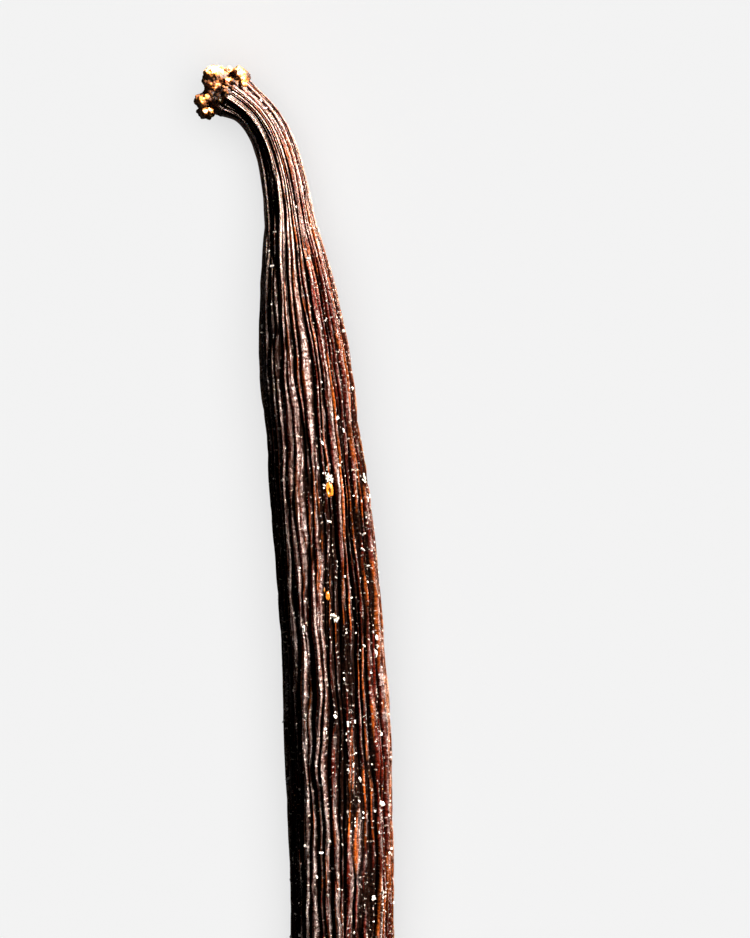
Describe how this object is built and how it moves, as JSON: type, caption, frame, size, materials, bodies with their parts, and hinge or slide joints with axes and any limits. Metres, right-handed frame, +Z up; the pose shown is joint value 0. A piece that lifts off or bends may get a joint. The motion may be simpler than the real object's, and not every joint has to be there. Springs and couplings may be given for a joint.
{
  "type": "vanilla pod",
  "caption": "Cured vanilla pod: a long, slim, ridged seed pod with a hooked, torn stalk end and a tapered tip, lying on its side.",
  "frame": {"origin": "under the centre of the bounding box, on the surface that the pod lies on", "axes": "+X along the pod towards its stalk end, +Y to the side that the stalk end hooks to, +Z up"},
  "size_m": [0.158, 0.0158, 0.0055],
  "materials": {
    "pod_skin": "oily, deeply ridged black-brown skin, satin on the ridges, red-brown along their edges",
    "stalk_crust": "dry, granular, golden to dark brown crust of torn stalk tissue",
    "frost": "white, slightly translucent crystals",
    "resin": "glossy amber drops of dried resin"
  },
  "bodies": {
    "root": {"pod": "pod_skin"}
  },
  "joints": []
}
